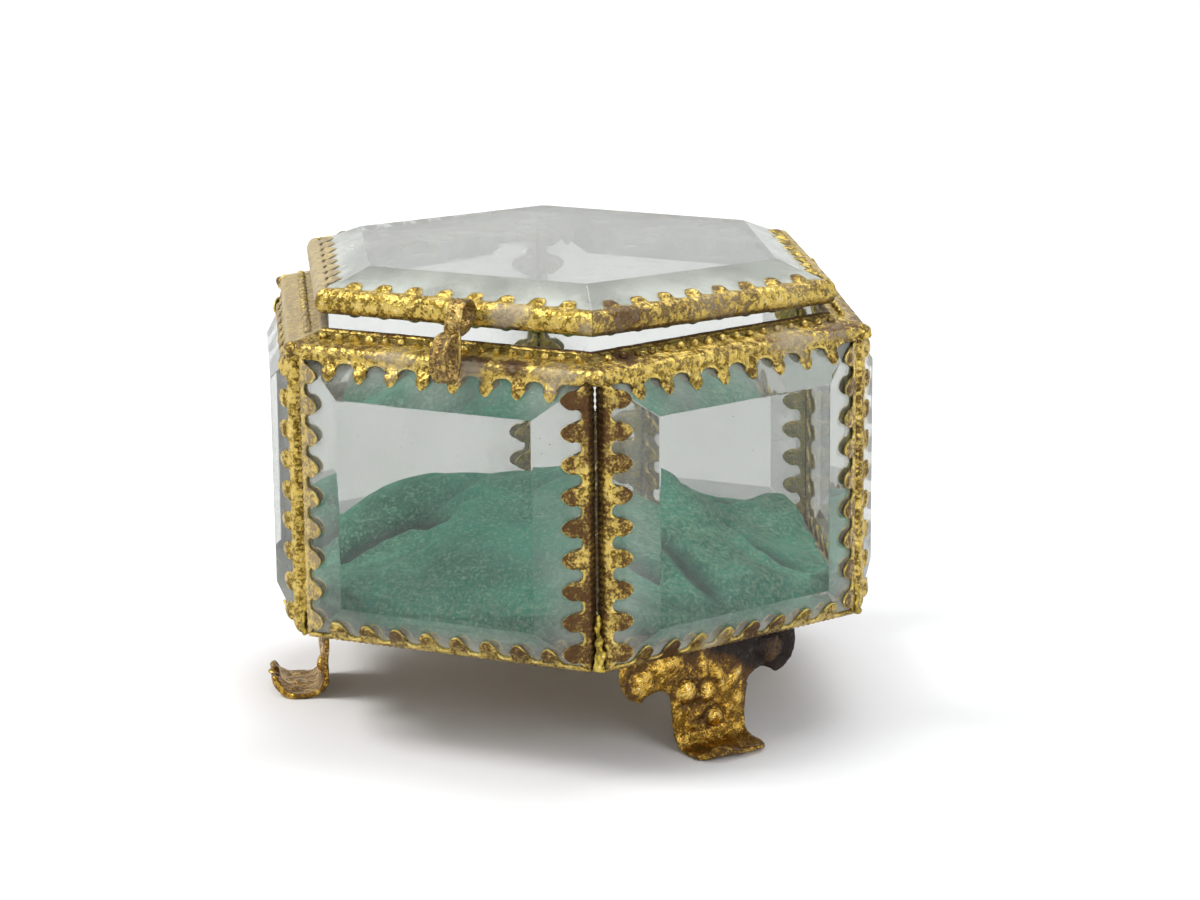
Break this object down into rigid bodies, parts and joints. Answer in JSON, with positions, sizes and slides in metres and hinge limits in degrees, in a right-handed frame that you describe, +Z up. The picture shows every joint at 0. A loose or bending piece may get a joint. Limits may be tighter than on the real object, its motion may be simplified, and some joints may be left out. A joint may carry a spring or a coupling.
{
  "type": "glass casket box",
  "caption": "Hexagonal casket of bevelled glass in clawed gilt-brass channels, with a beaded rim, a hinged glass lid with a strip pull, stamped feet and a padded silk cushion inside.",
  "frame": {"origin": "on the ground under the middle of the hexagon", "axes": "+Z up, -Y out of the front face that carries the pull, +Y towards the hinge, +X to the right along the front face"},
  "size_m": [0.1066, 0.102, 0.0763],
  "materials": {
    "gilt_brass": "satin",
    "bevelled_glass": "gloss",
    "silk": "matte",
    "card": "matte"
  },
  "bodies": {
    "casket": {"front_glass": "bevelled_glass", "front_upright_left": "gilt_brass", "front_upright_right": "gilt_brass", "front_bottom_channel": "gilt_brass", "front_rim": "gilt_brass", "front_right_glass": "bevelled_glass", "front_right_upright_left": "gilt_brass", "front_right_upright_right": "gilt_brass", "front_right_bottom_channel": "gilt_brass", "front_right_rim": "gilt_brass", "back_right_glass": "bevelled_glass", "back_right_upright_left": "gilt_brass", "back_right_upright_right": "gilt_brass", "back_right_bottom_channel": "gilt_brass", "back_right_rim": "gilt_brass", "back_glass": "bevelled_glass", "back_upright_left": "gilt_brass", "back_upright_right": "gilt_brass", "back_bottom_channel": "gilt_brass", "back_rim": "gilt_brass", "back_left_glass": "bevelled_glass", "back_left_upright_left": "gilt_brass", "back_left_upright_right": "gilt_brass", "back_left_bottom_channel": "gilt_brass", "back_left_rim": "gilt_brass", "front_left_glass": "bevelled_glass", "front_left_upright_left": "gilt_brass", "front_left_upright_right": "gilt_brass", "front_left_bottom_channel": "gilt_brass", "front_left_rim": "gilt_brass", "front_left_foot": "gilt_brass", "front_right_foot": "gilt_brass", "back_foot": "gilt_brass", "base_plate": "gilt_brass", "cushion_board": "card", "cushion": "silk", "corner_solder": "gilt_brass", "hinge_lower_leaf": "gilt_brass", "hinge_pin": "gilt_brass"},
    "lid": {"lid_front_channel": "gilt_brass", "lid_front_right_channel": "gilt_brass", "lid_back_right_channel": "gilt_brass", "lid_back_channel": "gilt_brass", "lid_back_left_channel": "gilt_brass", "lid_front_left_channel": "gilt_brass", "lid_glass": "bevelled_glass", "pull": "gilt_brass", "hinge_upper_leaf": "gilt_brass"}
  },
  "joints": [
    {"name": "lid_hinge", "type": "hinge", "parent": "casket", "child": "lid", "pos_m": [0, 0.043, 0.0686], "axis": [-1, 0, 0], "range_deg": [-1.5, 100]}
  ]
}
